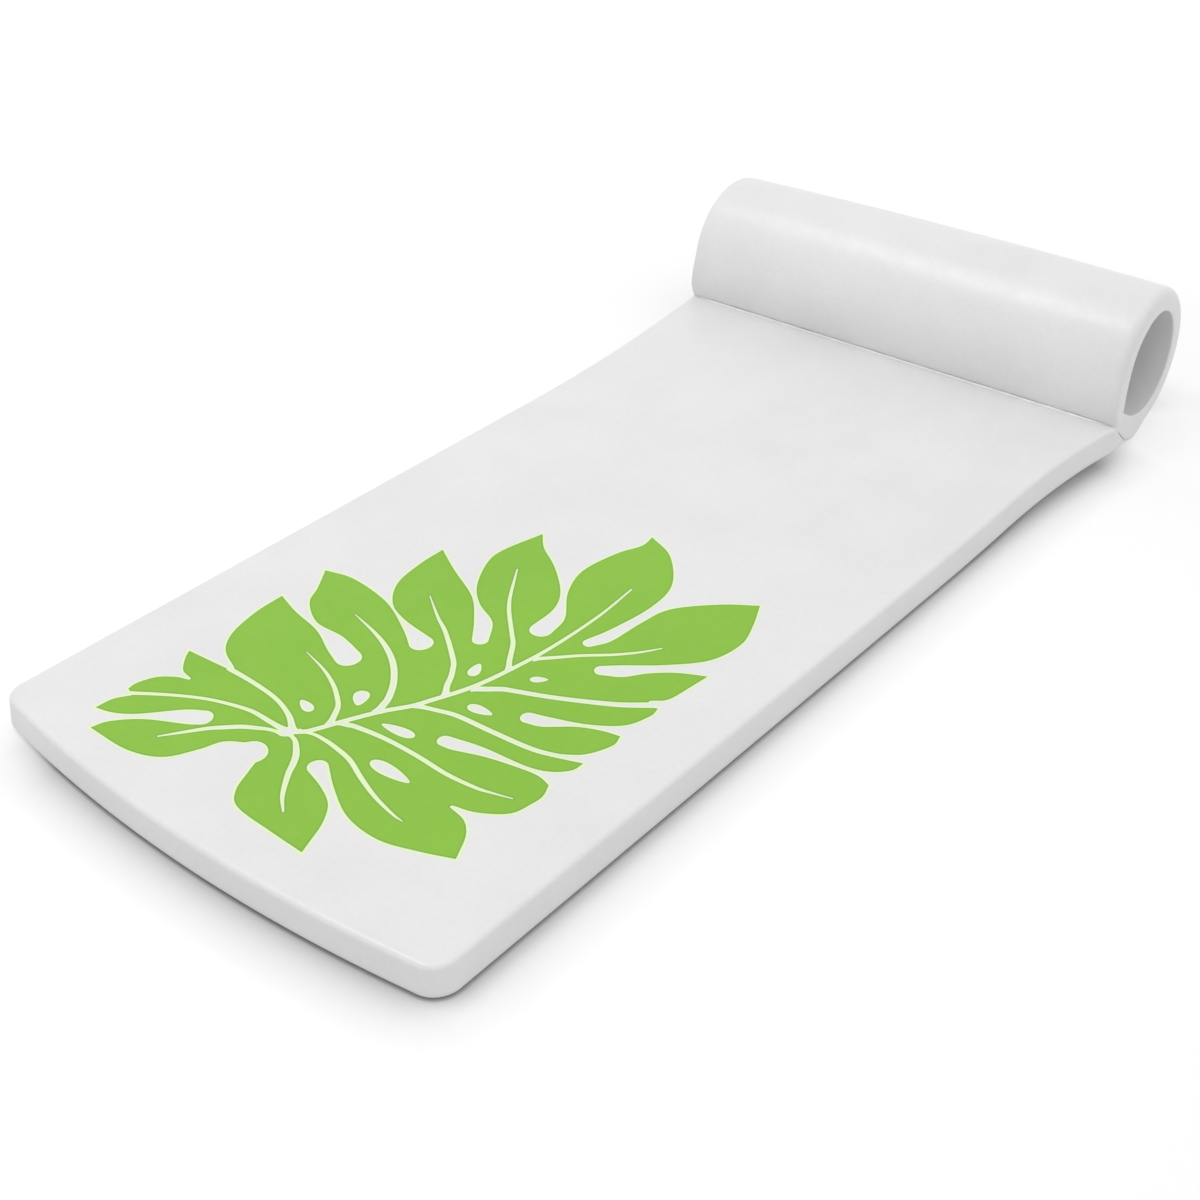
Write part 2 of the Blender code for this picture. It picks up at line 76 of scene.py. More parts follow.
# The pillow
RIGHT_CROWN = 0.0105         # how much less its radius is at the right end than in the middle
RIGHT_SWELL = 0.0045         # and how much of that is given back at the end's top and bottom
LEFT_CROWN = 0.0040
PILLOW_FLAT = 0.0026         # how much lower than round its top is, less towards the right end
# How much shorter each end is away from the joint, and the radius of its rounded edge
RIGHT_END = (0.0, 0.0130)
LEFT_END = (0.0080, 0.0050)
JOINT_BLEND = math.radians(45)
BORE_RADIUS = 0.0700
BORE_OVAL = 0.0030           # the bore is this much taller and less wide than round
BORE_CORNER = 0.0130         # and drawn out this far towards the joint
BORE_CORNER_AT = math.radians(37)
BORE_CORNER_SPREAD = math.radians(44)
BORE_CORNER_POWER = 1.7
BORE_RIM_RADIUS = 0.0022
SEAM_GAP = 0.00008

# Bead of coat along the creases
BEAD_RADIUS = 0.0017
BEAD_STAND_OFF = 1.30        # the bead's middle lies this many radii before the pillow
BEAD_HEIGHT = 0.3            # and this many off the mat's face
BEAD_TIP = 0.15              # its radius at its very ends, as a share
BEAD_TIP_SLOPE = 12
BEAD_SWELL = 0.35            # the share by which its radius varies
BEAD_SWELL_SCALE = 60
BEAD_WANDER = 0.0010
BEAD_WANDER_SCALE = 25
BEAD_NOISE_APART = 40        # keeps the two beads from varying alike
TOP_BEAD_END = 0.016
UNDER_BEAD_END = 0.075

# Leaf print
PRINT_LENGTH = 0.660
PRINT_FROM_FOOT = 0.050
INK_LAYER = 0.00005
INK_LIFT = 0.00003           # between the print's layers
HALO_WIDTH = 0.0026
RIM_WIDTH = 0.0018
THINNEST = 0.0002
MITER_LIMIT = 1.8
OUTLINE_PARTS = 4            # pieces that each step of an outline is divided into to measure from it
LEAST_DISTANCE = 0.97        # share of its distance that a moved point has to keep
ROOT_FLARE = 4
ROOT_FLARE_SHARE = 0.10
VEIN_TAPER = 2
HOLE_POINT = 0.35

# Fineness of the curves
FILLET_STEPS = 10
SIDE_STEPS = 6
CORNER_STEPS = 14
FOOT_STEPS = 40
ALONG_STEPS = 60
ACROSS_STEPS = 40
ROUND_STEPS = 120
JOINT_STEPS = 8
BARREL_STEPS = 40
RIM_STEPS = 6
BORE_STEPS = 12
BEAD_STEPS = 160
BEAD_SIDES = 10
EDGE_STEPS = 6
SLOT_STEPS = 10
VEIN_STEPS = 6
HOLE_STEPS = 28
CROWDING = 1.6               # how much the steps along the mat crowd together near the pillow
SHARP_ANGLE = math.radians(40)

# Places that follow from the sizes
CREASE_Y = PILLOW_Y - math.sqrt(PILLOW_RADIUS ** 2 - (PILLOW_Z - DECK_AT_HEAD) ** 2)
CORNER_Y = FOOT_Y + FOOT_BOW
HEAD_FLARE = PILLOW_HALF + END_FLARE - HEAD_WIDTH / 2
JOINT_TOP_ANGLE = math.asin((PILLOW_Z - DECK_AT_HEAD) / PILLOW_RADIUS)
JOINT_FOOT_ANGLE = math.asin((PILLOW_Z - HEAD_RISE) / PILLOW_RADIUS)

# Camera
CAMERA_AT = Vector((1.0431, -1.3911, 1.0831))
CAMERA_YAW = math.radians(39.20)
CAMERA_PITCH = math.radians(-33.99)
CAMERA_ROLL = math.radians(-0.11)
CAMERA_LENS = 48.78
SENSOR = 36.0

# Light
SKY_STRENGTH = 0.785
SKY_TILT = 0.13              # how much brighter the sky is towards +x and darker towards -x
SOFTBOX_FROM = (-1.5, -1.45, 4.35)
SOFTBOX_SIZE = (3.0, 1.2)
SOFTBOX_POWER = 55

# The floor. Its lift is the share of plain white in what the camera sees of it. The float's painted shade
# on it is deeper before the foot and ends towards the mat's left side, and a narrow painted contact shadow
# lies within it; both darken the floor's colour on top of its real shadow.
FLOOR_SIZE = 12
FLOOR_BOUNCE = 0.67
FLOOR_LIFT = 0.03
FAR_FLOOR = (1.1, 3.0)       # distances from the float between which the floor's lift grows
FAR_FLOOR_LIFT = 0.35
SHADE_REACH = 0.07
SHADE_OPENNESS = (0.5, 1.0)
SHADE_LEAST = 0.62
FOOT_SHADE_LEAST = 0.46
FOOT_SHADE_FROM_TO = (-0.745, -0.720)
LEFT_SHADE_FROM_TO = (-0.325, -0.270)
CONTACT_REACH = 0.012
CONTACT_OPENNESS = (0.1, 0.62)
CONTACT_LEAST = 0.25
# Painted light: spots of the floor where glowing white is painted over the float's shadow, and how much of
# it
PAINTED_LIGHT_LIFT = 0.75
PAINTED_LIGHT_SPOTS = [((0.42, 0.68, 0.0), 0.17), ((-0.36, -0.80, 0.0), 0.16)]    # the centre and the radius of each

# The coat's texture: noise scales, the broad mottling's share of the whole and the roughness's variation
BROAD_MOTTLE_SCALE = 9
FINE_MOTTLE_SCALE = 160
BROAD_SHARE = 0.55
SHEEN_SCALE = 60
SHEEN_RANGE = 0.05
VINYL_BUMPS = [(14, 2, 0.0009), (90, 3, 0.00018), (600, 2, 0.00007)]     # scale, detail and height

# The leaf as it is drawn, in millimetres across and along the mat from the foot end of the print.
DRAWN_LENGTH = 660
LEAF_SCALE = PRINT_LENGTH / DRAWN_LENGTH
CUT_MARGIN = 0.002
CUBIC_BULGE = 4 / 3

# Lobes, clockwise: the round end of the slot before it and its radius, the points that its edge runs
# through on the way out, the tip, and the points on the way back.
LEAF_LOBES = [
    ((-162, 162), 3, [(-193, 180), (-213, 207), (-224, 250)], (-226, 291),
     [(-189, 279), (-144, 269), (-107, 251)]),
    ((-78, 255), 15, [(-113, 279), (-155, 280), (-191, 302), (-206, 328)], (-227, 360),
     [(-187, 368), (-124, 358), (-71, 332)]),
    ((-36, 325), 14, [(-82, 346), (-116, 361), (-141, 394), (-150, 439)], (-151, 480),
     [(-109, 456), (-55, 428), (-20, 394)]),
    ((11, 371), 9.5, [(-2, 405), (-38, 423), (-66, 449), (-89, 491), (-94, 524)], (-81, 583),
     [(-59, 560), (-22, 536), (17, 501), (35, 468)]),
    ((51, 428), 13.5, [(57, 462), (26, 504), (10, 550), (17, 604), (30, 638)], (28, 661),
     [(70, 641), (110, 592), (119, 540), (111, 478)]),
    ((109, 442), 7.5, [(126, 461), (130, 509), (139, 551), (177, 594)], (214, 621),
     [(231, 582), (241, 545), (232, 500), (199, 462), (165, 434)]),
    ((152, 411), 8.5, [(177, 416), (194, 438), (217, 458)], (247, 474), [(244, 448), (239, 416)]),
    ((228, 400), 3, [], (240, 395), [(241, 380), (230, 352), (199, 329), (159, 313)]),
    ((145, 299), 9, [(166, 297), (192, 318), (217, 330)], (238, 335), [(241, 318), (228, 290)]),
    ((207, 270), 3, [], (236, 278), [(234, 263), (219, 248), (194, 239), (141, 234)]),
    ((104, 217), 8.5, [(119, 211), (154, 224), (194, 233), (215, 235)], (231, 231),
     [(237, 215), (236, 200), (229, 176), (203, 157)]),
    ((179, 148), 2, [(201, 141), (217, 127), (228, 106)], (232, 97),
     [(199, 83), (157, 70), (112, 74), (72, 94)]),
    ((34, 107), 11, [(59, 88), (83, 75), (99, 53), (109, 27)], (114, 13),
     [(70, 14), (19, 17), (-2, 32), (-14, 58)]),
    ((-36, 80), 18, [(-71, 74), (-81, 49), (-100, 19), (-138, 4)], (-195, 3),
     [(-189, 21), (-164, 46), (-124, 68)]),
    ((-119, 86), 12, [(-144, 83), (-176, 48), (-198, 33)], (-219, 27), [(-217, 47)]),
    ((-210, 64), 3, [], (-219, 69), [(-220, 81), (-212, 101), (-196, 114)]),
    ((-183, 121), 2, [(-200, 127), (-216, 143)], (-223, 154), [(-171, 158)]),
]
# Bare veins: the widths at the root, in the middle and at the end, and the points that each runs through.
LEAF_VEINS = [
    ((7, 7, 2.5), [(-32, 127), (-19, 137), (-12, 149), (5, 185), (20, 213), (37, 238), (45, 256), (63, 300),
                 (74, 350), (82, 410), (84, 490), (79, 556)]),
    ((7, 5.4, 1), [(-7, 161), (-17, 179), (-23, 188), (-32, 196), (-53, 210), (-82, 223), (-122, 234)]),
    ((8.8, 7.4, 1.2), [(16, 206), (12, 220), (7, 233), (-8, 255), (-32, 278), (-60, 295), (-91, 307),
                       (-133, 318)]),
    ((7, 6.1, 1.2), [(52, 272), (41, 286), (34, 299), (25, 312), (13, 325), (-29, 357), (-56, 373),
                     (-94, 399)]),
    ((6.4, 5, 1.8), [(74, 348), (63, 361), (45, 387), (31, 401), (3, 428), (-9, 441), (-20, 455),
                     (-38, 482), (-53, 505)]),
    ((6.5, 5, 2), [(80, 380), (95, 395), (117, 418), (143, 441), (163, 463), (178, 485)]),
    ((9, 7.3, 11.5), [(64, 299), (75, 306), (90, 318), (100, 323), (128, 335), (151, 346), (179, 361),
                      (206, 377), (233, 398), (250, 410)]),
    ((6.4, 6.8, 6.5), [(38, 240), (61, 248), (85, 255), (128, 258), (175, 262), (200, 268), (222, 278),
                       (245, 290)]),
    ((8, 5.6, 1.5), [(-2, 171), (8, 173), (17, 176), (52, 181), (97, 182), (141, 180), (177, 183),
                   (194, 187), (217, 194)]),
    ((4.2, 5.6, 1), [(-25, 134), (-9, 140), (5, 141), (21, 140), (50, 135), (81, 122), (112, 111),
                     (143, 104), (157, 103)]),
    ((4.5, 7.3, 2), [(-29, 125), (-17, 122), (-8, 116), (3, 106), (11, 95), (20, 80), (39, 56), (58, 40)]),
    ((4.8, 7, 2), [(-34, 121), (-49, 117), (-62, 110), (-75, 102), (-88, 90), (-100, 78), (-117, 55),
                   (-130, 37)]),
    ((6.5, 4.8, 7.5), [(-33, 126), (-60, 126), (-85, 126), (-108, 121), (-137, 111), (-164, 97), (-192, 79),
                       (-212, 65), (-235, 53)]),
    ((7.6, 5.3, 6.8), [(-30, 131), (-41, 139), (-53, 146), (-75, 154), (-98, 158), (-131, 160),
                       (-165, 160)]),
]
# Bare holes, and the star where the veins meet: the centre, half the length, half the width and the
# direction of the pointed end in degrees.
LEAF_HOLES = [
    (-50, 168, 12, 6, 164), (-15, 213, 13, 8.5, 302), (45, 326, 12, 6.5, 108), (110, 356, 10, 5, 37),
    (97, 277, 15.5, 6.5, 8), (54.5, 199, 21, 6.5, 188), (95, 147.5, 27, 8, 0), (-32, 125, 8, 8, 0),
]


# Shape of the mat

def smooth_step(value):
    """A smooth way from 0 to 1 as the value goes from 0 to 1."""
    value = min(max(value, 0.0), 1.0)
    return value * value * (3.0 - 2.0 * value)


def half_width(y):
    """Half the mat's width at y: a slight taper to the foot and a flare beside the pillow."""
    share = (y - CORNER_Y) / (CREASE_Y - CORNER_Y)
    flare = min(max(1.0 - (CREASE_Y - y) / FLARE_LENGTH, 0.0), 1.0)
    return (FOOT_WIDTH + (HEAD_WIDTH - FOOT_WIDTH) * min(share, 1.0)) / 2 + HEAD_FLARE * flare ** 2


def rise(y):
    """Height of the mat's underside at y."""
    return HEAD_RISE * smooth_step((y - (CREASE_Y - RISE_END - RISE_LENGTH)) / RISE_LENGTH)


def foot_bow(x, y):
    """How far the foot edge's bow, less what is trimmed off it, carries a point of the mat outwards."""
    across = x / half_width(y)
    bow = FOOT_BOW * (1.0 - across ** 2) - FOOT_TRIM * (1.0 + across)
    return bow * (1.0 - smooth_step((y - CORNER_Y) / FOOT_BOW_FADE))


def mat_end(z):
    """Where the mat ends at height z, just clear of the pillow's front."""
    return PILLOW_Y - math.sqrt((PILLOW_RADIUS + SEAM_GAP) ** 2 - (PILLOW_Z - z) ** 2)


JOINT_TOP = Vector((mat_end(DECK_AT_HEAD), DECK_AT_HEAD))


def fillet_depth(distance, radius):
    """How far a rounded rim draws a side in, that far from the rim's contour."""
    if distance >= radius:
        return 0.0
    return radius - math.sqrt(max(radius ** 2 - (radius - distance) ** 2, 0.0))


def side_inset(below_deck, above_underside):
    """How far its lean and rounded rims draw the side in, that far from the deck and the underside."""
    lean = SIDE_LEAN * max(1.0 - below_deck / (MAT_THICKNESS - UNDER_EDGE_RADIUS), 0.0)
    return (lean + fillet_depth(below_deck, DECK_EDGE_RADIUS)
            + fillet_depth(above_underside, UNDER_EDGE_RADIUS))


def mat_inset(y, z):
    """How far the mat's side is drawn in at y and z."""
    below_deck = MAT_THICKNESS + rise(y) - z
    if y > JOINT_TOP.x:
        below_deck = (Vector((y, z)) - JOINT_TOP).length
    return side_inset(below_deck, z - rise(y))


def mat_heights():
    """Heights over the underside, from the deck down."""
    heights = []
    for step in range(FILLET_STEPS + 1):
        angle = math.pi / 2 * step / FILLET_STEPS
        heights.append(MAT_THICKNESS - DECK_EDGE_RADIUS * (1 - math.cos(angle)))
    straight = MAT_THICKNESS - DECK_EDGE_RADIUS - UNDER_EDGE_RADIUS
    for step in range(1, SIDE_STEPS):
        heights.append(UNDER_EDGE_RADIUS + straight * (1 - step / SIDE_STEPS))
    for step in range(FILLET_STEPS + 1):
        angle = math.pi / 2 * step / FILLET_STEPS
        heights.append(UNDER_EDGE_RADIUS * (1 - math.sin(angle)))
    return heights


def side_run(height, extra):
    """One side of the mat's outline at a height, from the pillow to the foot corner's start."""
    corner_y = CORNER_Y + CORNER_RADIUS
    end = mat_end(height + HEAD_RISE)
    run = []
    for step in range(ALONG_STEPS + 1):
        y = end + (corner_y - end) * (step / ALONG_STEPS) ** CROWDING
        z = height + rise(y)
        run.append(Vector((half_width(y) - mat_inset(y, z) - extra, y, z)))
    return run


def mat_ring(height, extra=0.0):
    """The mat's outline at a height, drawn in by extra, from its right end round the foot to its left."""
    right = side_run(height, extra)
    corner_y = CORNER_Y + CORNER_RADIUS
    centre_x = half_width(corner_y) - CORNER_RADIUS
    inset = mat_inset(corner_y, height + rise(corner_y)) + extra
    radius = CORNER_RADIUS - inset
    for step in range(1, CORNER_STEPS + 1):
        angle = math.pi / 2 * step / CORNER_STEPS
        x = centre_x + radius * math.cos(angle)
        right.append(Vector((x, corner_y - radius * math.sin(angle), height)))
    foot = [Vector((centre_x * (1 - 2 * step / FOOT_STEPS), corner_y - radius, height))
            for step in range(1, FOOT_STEPS)]
    ring = right + foot + [Vector((-point.x, point.y, point.z)) for point in reversed(right)]
    return [Vector((point.x, point.y - foot_bow(point.x, point.y), point.z)) for point in ring]


def across_row(mesh, right, left, on_end):
    """Vertices from right to left across the mat, on the pillow's front where the row is at the end."""
    row = [right]
    for step in range(1, ACROSS_STEPS):
        point = right.co.lerp(left.co, step / ACROSS_STEPS)
        if on_end:
            point.y = mat_end(point.z)
        row.append(mesh.verts.new(point))
    return row + [left]


def strip(mesh, first, second):
    """Faces between two rows of vertices."""
    for index in range(len(first) - 1):
        mesh.faces.new((first[index], first[index + 1], second[index + 1], second[index]))


def finish_piece(name, mesh, material, slot, *nodes):
    """Makes the mesh a piece that stands for those nodes and rides on the one body."""
    bmesh.ops.recalc_face_normals(mesh, faces=mesh.faces)
    data = bpy.data.meshes.new(name)
    mesh.to_mesh(data)
    mesh.free()
    data.shade_smooth()
    data.set_sharp_from_angle(angle=SHARP_ANGLE)
    data.materials.append(material)
    piece = bpy.data.objects.new(name, data)
    bpy.context.scene.collection.objects.link(piece)
    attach(piece, "root")
    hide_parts(*nodes)
    return piece


def build_mat(material):
    """The coated mat: rounded sides, a bowed foot and an end that fits the pillow."""
    mesh = bmesh.new()
    heights = mat_heights()
    outlines = [mat_ring(heights[0], SUPPORT_LOOP)] + [mat_ring(height) for height in heights]
    outlines.append(mat_ring(heights[-1], SUPPORT_LOOP))
    rings = [[mesh.verts.new(point) for point in outline] for outline in outlines]
    for upper, lower in zip(rings, rings[1:]):
        strip(mesh, upper, lower)
    end_rows = [across_row(mesh, ring[0], ring[-1], True) for ring in rings]
    for upper, lower in zip(end_rows, end_rows[1:]):
        strip(mesh, upper, lower)
    for ring, end_row in ((rings[0], end_rows[0]), (rings[-1], end_rows[-1])):
        row = end_row
        for step in range(1, ALONG_STEPS + 1):
            following = across_row(mesh, ring[step], ring[-1 - step], False)
            strip(mesh, row, following)
            row = following
        mesh.faces.new(row[:0:-1] + ring[ALONG_STEPS:len(ring) - ALONG_STEPS - 1])
    # The underside is lifted off the floor a hair, and the deck at the foot keeps its height
    for vert in mesh.verts:
        vert.co.z += FLOOR_GAP * (1 - vert.co.z / MAT_THICKNESS)
    piece = finish_piece("mat", mesh, material, "mat_vinyl", "mat_coat", "mat_core", "joint_glue")


# Shape of the pillow

def joint_share(angle):
    """1 along the glued joint, falling to 0 round the pillow on both sides of it."""
    past = max(JOINT_TOP_ANGLE - angle, angle - JOINT_FOOT_ANGLE, 0.0)
    return 1.0 - smooth_step(past / JOINT_BLEND)


def pillow_radius(x, angle):
    """Outer radius at x and an angle down from the pillow's front: a barrel, straight along the joint."""
    out = x / PILLOW_HALF
    crown = RIGHT_CROWN - RIGHT_SWELL * math.sin(angle) ** 2 if x > 0 else LEFT_CROWN
    flat = PILLOW_FLAT * (1 - max(out, 0.0) ** 2) * smooth_step(-math.sin(angle))
    return PILLOW_RADIUS - (crown * out ** 2 + flat) * (1.0 - joint_share(angle))


def round_angles():
    """Angles round the pillow, from its front downwards, with the joint's two corners among them."""
    span = JOINT_FOOT_ANGLE - JOINT_TOP_ANGLE
    near = []
    for step in range(1, JOINT_STEPS + 1):
        turn = math.pi / 2 * step / JOINT_STEPS
        near.append(min(UNDER_EDGE_RADIUS / PILLOW_RADIUS, span / 2) * (1 - math.cos(turn)))
    angles = [JOINT_TOP_ANGLE] + [JOINT_TOP_ANGLE + offset for offset in near]
    angles += [JOINT_FOOT_ANGLE - offset for offset in reversed(near)] + [JOINT_FOOT_ANGLE]
    rest = 2 * math.pi - span
    angles += [JOINT_FOOT_ANGLE + rest * step / ROUND_STEPS for step in range(1, ROUND_STEPS)]
    return [(angle + math.pi) % (2 * math.pi) - math.pi for angle in angles]


def bore_radius(angle):
    """Radius of the bore: a little taller than wide, with a soft corner towards the joint."""
    past = abs(angle - BORE_CORNER_AT) / BORE_CORNER_SPREAD
    corner = BORE_CORNER * max(1.0 - past, 0.0) ** BORE_CORNER_POWER
    return BORE_RADIUS - BORE_OVAL * math.cos(2 * angle) + corner


def pillow_end(angle, radius, side):
    """How far from the pillow's middle an end face lies at an angle and a distance from its axis."""
    shorter, end_rounding = RIGHT_END if side > 0 else LEFT_END
    share = joint_share(angle)
    end_radius = pillow_radius(side * PILLOW_HALF, angle)
    inner_radius = bore_radius(angle)
    outward = smooth_step((radius - inner_radius) / (end_radius - inner_radius))
    face = PILLOW_HALF + END_FLARE * share * outward
    rounding = fillet_depth(end_radius - radius, end_rounding) + shorter
    point = Vector((PILLOW_Y - radius * math.cos(angle), PILLOW_Z - radius * math.sin(angle)))
    below_deck = (point - JOINT_TOP).length
    above_underside = point.y - HEAD_RISE
    if angle > JOINT_FOOT_ANGLE or angle < -math.pi / 2:
        below_deck = MAT_THICKNESS
        above_underside = end_radius - radius
    elif angle < JOINT_TOP_ANGLE:
        below_deck = end_radius - radius
        above_underside = MAT_THICKNESS
    flush = side_inset(below_deck, above_underside)
    return face - rounding * (1.0 - share) - flush * share


def pillow_profile(angle, side):
    """Half of the wall at an angle, from outside to the bore: distances from the middle, with radii."""
    end_radius = pillow_radius(side * PILLOW_HALF, angle)
    end_rounding = (RIGHT_END if side > 0 else LEFT_END)[1]
    outer_end = pillow_end(angle, end_radius, side)
    half = []
    for step in range(BARREL_STEPS):
        x = outer_end * step / BARREL_STEPS
        half.append((x, pillow_radius(side * x, angle)))
    for step in range(FILLET_STEPS + 1):
        radius = end_radius - end_rounding * (1 - math.cos(math.pi / 2 * step / FILLET_STEPS))
        half.append((pillow_end(angle, radius, side), radius))
    inner_radius = bore_radius(angle)
    rim_radius = inner_radius + BORE_RIM_RADIUS
    face = pillow_end(angle, rim_radius, side)
    for step in range(RIM_STEPS + 1):
        turn = math.pi / 2 * step / RIM_STEPS
        x = face - BORE_RIM_RADIUS * (1 - math.cos(turn))
        half.append((x, rim_radius - BORE_RIM_RADIUS * math.sin(turn)))
    inner = half[-1][0]
    half += [(inner * (1 - step / BORE_STEPS), inner_radius) for step in range(1, BORE_STEPS)]
    return half


def build_pillow(material):
    """The coated roll: a barrel with rounded ends, flush with the mat's sides at the joint, and a bore."""
    mesh = bmesh.new()
    loops = []
    for angle in round_angles():
        right = pillow_profile(angle, 1)
        left = pillow_profile(angle, -1)
        profile = right + [(0.0, right[-1][1])] + [(-x, radius) for x, radius in reversed(left[1:])]
        forward, down = math.cos(angle), math.sin(angle)
        loops.append([mesh.verts.new((x, PILLOW_Y - radius * forward, PILLOW_Z - radius * down))
                      for x, radius in profile])
    for first, second in zip(loops, loops[1:] + loops[:1]):
        strip(mesh, first + first[:1], second + second[:1])
    piece = finish_piece("roll_pillow", mesh, material, "pillow_vinyl", "pillow_coat", "pillow_core")


# Beads along the two creases

def build_bead(name, surface_z, direction, short_by, material, cad_node):
    """A slightly uneven bead of coat along the corner between the pillow and a face of the mat."""
    half_length = half_width(CREASE_Y) - short_by
    mesh = bmesh.new()
    loops = []
    for step in range(BEAD_STEPS + 1):
        x = half_length * (2 * step / BEAD_STEPS - 1)
        body = min(1.0, BEAD_TIP_SLOPE * (1 - abs(x) / half_length))
        apart = surface_z * BEAD_NOISE_APART
        swell = BEAD_SWELL * noise.noise(Vector((x * BEAD_SWELL_SCALE, apart, 1)))
        wander = BEAD_WANDER * noise.noise(Vector((x * BEAD_WANDER_SCALE, apart, 2)))
        radius = BEAD_RADIUS * (BEAD_TIP + (1 - BEAD_TIP) * body) * (1 + swell)
        z = surface_z + direction * radius * BEAD_HEIGHT
        y = mat_end(z) - radius * BEAD_STAND_OFF + wander
        loop = []
        for turn in range(BEAD_SIDES):
            angle = 2 * math.pi * turn / BEAD_SIDES
            loop.append(mesh.verts.new((x, y + radius * math.cos(angle), z + radius * math.sin(angle))))
        loops.append(loop)
    for first, second in zip(loops, loops[1:]):
        strip(mesh, first + first[:1], second + second[:1])
    mesh.faces.new(loops[0])
    mesh.faces.new(loops[-1])
    finish_piece(name, mesh, material, "bead_vinyl", cad_node)


# Leaf print

def leaf_point(x, y):
    """Place on the deck of a point of the drawn leaf."""
    return Vector((x * LEAF_SCALE, FOOT_Y + PRINT_FROM_FOOT + y * LEAF_SCALE))


def bezier(points, steps):
    """Points of a cubic curve, without its first one."""
    first, second, third, fourth = points
    curve = []
    for step in range(1, steps + 1):
        share = step / steps
        rest = 1 - share
        curve.append(first * rest ** 3 + second * 3 * rest ** 2 * share
                     + third * 3 * rest * share ** 2 + fourth * share ** 3)
    return curve


def leaf_slots():
    """Where the outline enters and leaves each slot, and the step from its middle towards its mouth."""
    slots = []
    last_before = LEAF_LOBES[-1][4][-1]
    for slot, radius, out, tip, back in LEAF_LOBES:
        centre = leaf_point(*slot)
        first_after = (out + [tip])[0]
        mouth = (leaf_point(*last_before) + leaf_point(*first_after)) / 2 - centre
        mouth = mouth.normalized() * radius * LEAF_SCALE
        across = Vector((-mouth.y, mouth.x))
        slots.append((centre + across, centre - across, mouth))
        last_before = back[-1]
    return slots


def leaf_outline():
    """The leaf's outline, clockwise: round the end of each slot, out to the lobe's tip and back."""
    slots = leaf_slots()
    points = []
    for index, (_, _, out, tip, back) in enumerate(LEAF_LOBES):
        entry, leaving, mouth = slots[index]
        next_entry = slots[(index + 1) % len(slots)][0]
        round_end = mouth * -CUBIC_BULGE
        points += bezier([entry, entry + round_end, leaving + round_end, leaving], SLOT_STEPS)
        points += smooth_path([leaving] + [leaf_point(*point) for point in out + [tip]], EDGE_STEPS)[1:]
        points += smooth_path([leaf_point(*point) for point in [tip] + back] + [next_entry], EDGE_STEPS)[1:]
    return points


def grown(outline, distance):
    """A clockwise outline moved outwards by that much, without the points that fall too near to it."""
    divided = [point.lerp(outline[index - 1], part / OUTLINE_PARTS)
               for index, point in enumerate(outline) for part in range(OUTLINE_PARTS)]
    near = kdtree.KDTree(len(divided))
    for index, point in enumerate(divided):
        near.insert(point.to_3d(), index)
    near.balance()
    moved = []
    for index, point in enumerate(outline):
        before = (point - outline[index - 1]).normalized()
        after = (outline[(index + 1) % len(outline)] - point).normalized()
        outward = Vector((-before.y - after.y, before.x + after.x))
        outward = outward / max(outward.length_squared / 2, outward.length / MITER_LIMIT)
        place = point + outward * distance
        if near.find(place.to_3d())[2] > LEAST_DISTANCE * abs(distance):
            moved.append(place)
    return moved


def smooth_path(points, steps):
    """A smooth curve through the points."""
    ends = [points[0] * 2 - points[1]] + points + [points[-1] * 2 - points[-2]]
    path = [points[0]]
    for index in range(1, len(ends) - 2):
        before, here, following, after = ends[index - 1:index + 3]
        handles = [here + (following - before) / 6, following - (after - here) / 6]
        path += bezier([here, *handles, following], steps)
    return path


def vein_width(widths, share):
    """Width of a vein at that share of its length, from its root over its middle to its end."""
    root, middle, end = widths
    if share < 0.5:
        flare = ROOT_FLARE * max(1 - share / ROOT_FLARE_SHARE, 0) ** 2
        return root + (middle - root) * smooth_step(2 * share) + flare
    return middle + (end - middle) * (2 * share - 1) ** VEIN_TAPER


def vein_outline(widths, points, grow):
    """A strip along a vein, grown by that much at its sides and end."""
    path = smooth_path([leaf_point(*point) for point in points], VEIN_STEPS)
    path[-1] = path[-1] + (path[-1] - path[-2]).normalized() * grow
    left, right = [], []
    for index, point in enumerate(path):
        ahead = path[min(index + 1, len(path) - 1)] - path[max(index - 1, 0)]
        across = Vector((-ahead.y, ahead.x)).normalized()
        half = max(vein_width(widths, index / (len(path) - 1)) * LEAF_SCALE / 2 + grow, THINNEST / 2)
        left.append(point + across * half)
        right.append(point - across * half)
    return left + right[::-1]


def hole_outline(x, y, half_length, half_across, degrees, grow):
    """A drop-shaped hole, grown by that much, its point that far round from straight across the mat."""
    turn = math.radians(degrees)
    centre = leaf_point(x, y)
    along = Vector((math.cos(turn), math.sin(turn))) * (half_length * LEAF_SCALE + grow)
    across = Vector((-math.sin(turn), math.cos(turn))) * (half_across * LEAF_SCALE + grow)
    points = []
    for step in range(HOLE_STEPS):
        angle = 2 * math.pi * step / HOLE_STEPS
        points.append(centre + along * math.cos(angle)
                      + across * math.sin(angle) * (1 - HOLE_POINT * math.cos(angle)))
    return points


def plate(name, outline, bottom, top):
    """A flat plate of that outline between two heights."""
    mesh = bmesh.new()
    upper = [mesh.verts.new((point.x, point.y, top)) for point in outline]
    lower = [mesh.verts.new((point.x, point.y, bottom)) for point in outline]
    strip(mesh, upper + upper[:1], lower + lower[:1])
    for ring in (upper, lower):
        edges = [mesh.edges.get((ring[index], ring[(index + 1) % len(ring)])) for index in range(len(ring))]
        bmesh.ops.triangle_fill(mesh, edges=edges, use_beauty=True)
    bmesh.ops.recalc_face_normals(mesh, faces=mesh.faces)
    data = bpy.data.meshes.new(name)
    mesh.to_mesh(data)
    mesh.free()
    obj = bpy.data.objects.new(name, data)
    bpy.context.scene.collection.objects.link(obj)
    return obj


